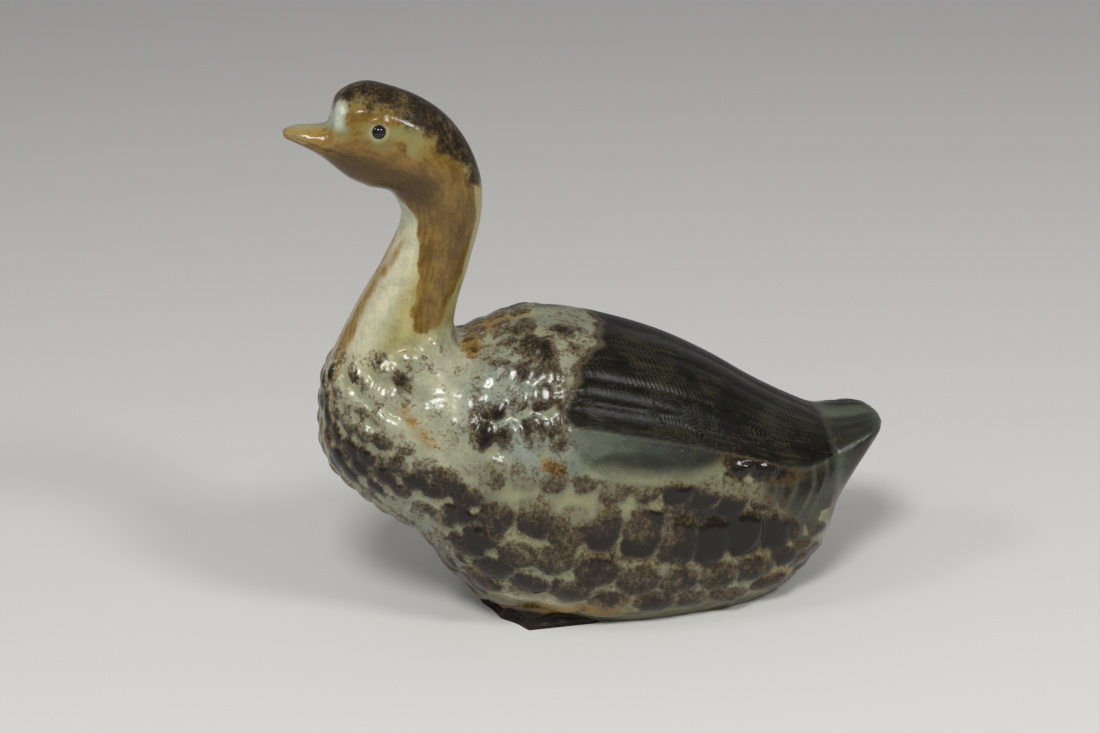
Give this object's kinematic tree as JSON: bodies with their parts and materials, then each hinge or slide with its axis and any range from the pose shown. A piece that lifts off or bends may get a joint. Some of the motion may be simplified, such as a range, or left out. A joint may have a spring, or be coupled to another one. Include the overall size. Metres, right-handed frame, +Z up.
{
  "type": "waterfowl figurine",
  "caption": "Glazed stoneware waterfowl figurine with a tall curved neck, carved scale feathers and wings, and a flat base to stand on.",
  "frame": {"origin": "centre of the bounding box at the level of the flat base", "axes": "-X towards the beak, +X towards the tail, +Z up, -Y is the side that the picture shows"},
  "size_m": [0.2085, 0.0941, 0.1976],
  "materials": {
    "glazed_stoneware": "gloss glaze, mottled brown-black, olive, celadon and ochre"
  },
  "bodies": {
    "root": {"duck_body": "glazed_stoneware"}
  },
  "joints": []
}
